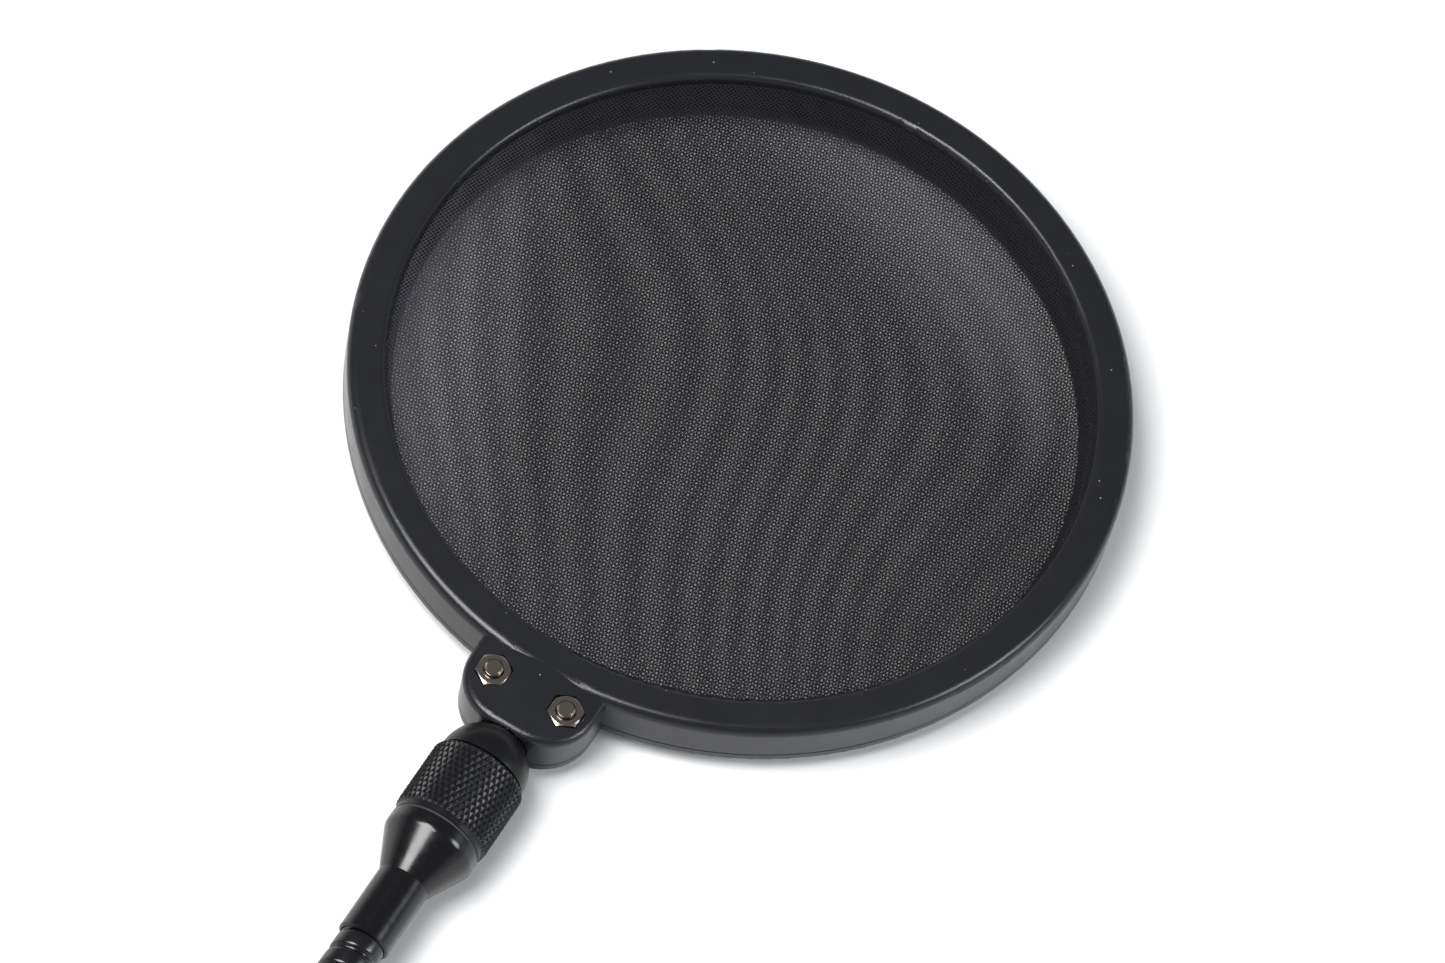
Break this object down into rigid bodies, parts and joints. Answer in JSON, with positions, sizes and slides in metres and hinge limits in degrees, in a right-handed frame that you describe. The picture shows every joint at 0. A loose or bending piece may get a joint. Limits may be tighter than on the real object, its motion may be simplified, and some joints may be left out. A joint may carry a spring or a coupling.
{
  "type": "pop filter",
  "caption": "Round black pop filter: two nylon screens in a two-shell hoop with a bolted lug, locking ball joint with knurled collar, gooseneck and stand clamp.",
  "frame": {"origin": "centre of the stand tube held by the clamp's saddle, on the arm's axis", "axes": "+Y along the arm from the clamp to the hoop, +Z out of the hoop's face, lying flat"},
  "size_m": [0.172, 0.6705, 0.0218],
  "materials": {
    "hoop_plastic": "fine-grained satin black moulded ABS",
    "screen_nylon": "black plain-woven nylon",
    "spacer_plastic": "matte black moulded ring",
    "nut_steel": "nickel-plated steel",
    "ball_steel": "polished steel ball, plated tongue",
    "cap_plastic": "smooth matte black",
    "liner_nylon": "natural nylon",
    "collar_black": "black anodised, diamond knurl",
    "ferrule_black": "black anodised, polished",
    "washer_steel": "plain steel",
    "black_rubber": "matte black rubber",
    "gooseneck_black": "black-coated steel spiral",
    "clamp_plastic": "glass-filled nylon, fine texture",
    "insert_brass": "turned brass",
    "screw_steel": "zinc-plated steel",
    "knob_plastic": "black moulded wing knob"
  },
  "bodies": {
    "clamp": {"clamp_frame": "clamp_plastic", "saddle_pad": "black_rubber", "thread_insert": "insert_brass", "stud_nut": "nut_steel", "lower_ferrule": "ferrule_black", "gooseneck_segment_7": "gooseneck_black"},
    "foot": {"pressure_foot": "clamp_plastic", "foot_pad": "black_rubber"},
    "screw": {"clamp_screw": "screw_steel", "wing_knob": "knob_plastic"},
    "neck_6": {"gooseneck_segment_6": "gooseneck_black"},
    "neck_5": {"gooseneck_segment_5": "gooseneck_black"},
    "neck_4": {"gooseneck_segment_4": "gooseneck_black"},
    "neck_3": {"gooseneck_segment_3": "gooseneck_black"},
    "neck_2": {"gooseneck_segment_2": "gooseneck_black"},
    "neck_1": {"gooseneck_segment_1": "gooseneck_black", "upper_ferrule": "ferrule_black", "disc_spring": "washer_steel", "pressure_seat": "liner_nylon", "seal_ring": "black_rubber"},
    "collar_washer": {"thrust_washer": "washer_steel"},
    "collar": {"knurled_collar": "collar_black"},
    "socket": {"socket_cap": "cap_plastic"},
    "liner": {"socket_liner": "liner_nylon"},
    "hoop": {"front_shell": "hoop_plastic", "rear_shell": "hoop_plastic", "front_screen": "screen_nylon", "rear_screen": "screen_nylon", "screen_spacer_ring": "spacer_plastic", "lug_nuts": "nut_steel", "lug_bolts": "nut_steel", "ball_stud": "ball_steel"}
  },
  "joints": [
    {"name": "screw_turn", "type": "hinge", "parent": "foot", "child": "screw", "pos_m": [0, -0.0687, 0], "axis": [0, 1, 0], "range_deg": [-5184.1, 2304.1]},
    {"name": "foot_slide", "type": "slide", "parent": "clamp", "child": "foot", "axis": [0, 1, 0], "range_m": [-0.008, 0.018]},
    {"name": "neck_lift_1", "type": "hinge", "parent": "clamp", "child": "neck_6", "pos_m": [0, 0.0907, 0], "axis": [1, 0, 0], "range_deg": [-30, 30]},
    {"name": "neck_swing_1", "type": "hinge", "parent": "neck_6", "child": "neck_5", "pos_m": [0, 0.1337, 0], "axis": [0, 0, 1], "range_deg": [-30, 30]},
    {"name": "neck_lift_2", "type": "hinge", "parent": "neck_5", "child": "neck_4", "pos_m": [0, 0.1767, 0], "axis": [1, 0, 0], "range_deg": [-30, 30]},
    {"name": "neck_swing_2", "type": "hinge", "parent": "neck_4", "child": "neck_3", "pos_m": [0, 0.2197, 0], "axis": [0, 0, 1], "range_deg": [-30, 30]},
    {"name": "neck_lift_3", "type": "hinge", "parent": "neck_3", "child": "neck_2", "pos_m": [0, 0.2627, 0], "axis": [1, 0, 0], "range_deg": [-30, 30]},
    {"name": "neck_swing_3", "type": "hinge", "parent": "neck_2", "child": "neck_1", "pos_m": [0, 0.3057, 0], "axis": [0, 0, 1], "range_deg": [-30, 30]},
    {"name": "collar_travel", "type": "slide", "parent": "neck_1", "child": "collar_washer", "axis": [0, 1, 0], "range_m": [0, 0.0005]},
    {"name": "collar_turn", "type": "hinge", "parent": "collar_washer", "child": "collar", "pos_m": [0, 0.3863, 0], "axis": [0, 1, 0], "range_deg": [0, 180]},
    {"name": "head_turn", "type": "hinge", "parent": "neck_1", "child": "socket", "pos_m": [0, 0.3967, 0], "axis": [0, 1, 0], "range_deg": [-180, 180]},
    {"name": "hoop_swing", "type": "hinge", "parent": "socket", "child": "liner", "pos_m": [0, 0.3967, 0], "axis": [0, 0, 1], "range_deg": [-15, 15]},
    {"name": "hoop_tilt", "type": "hinge", "parent": "liner", "child": "hoop", "pos_m": [0, 0.3967, 0], "axis": [1, 0, 0], "range_deg": [-15, 15]}
  ],
  "couplings": [
    {"joint": "screw_turn", "follows": "foot_slide", "rad_per_m": -5026.5},
    {"joint": "collar_travel", "follows": "collar_turn", "m_per_rad": 0.00015915},
    {"joint": "neck_lift_2", "follows": "neck_lift_1", "ratio": 1},
    {"joint": "neck_lift_3", "follows": "neck_lift_1", "ratio": 1},
    {"joint": "neck_swing_2", "follows": "neck_swing_1", "ratio": 1},
    {"joint": "neck_swing_3", "follows": "neck_swing_1", "ratio": 1}
  ]
}
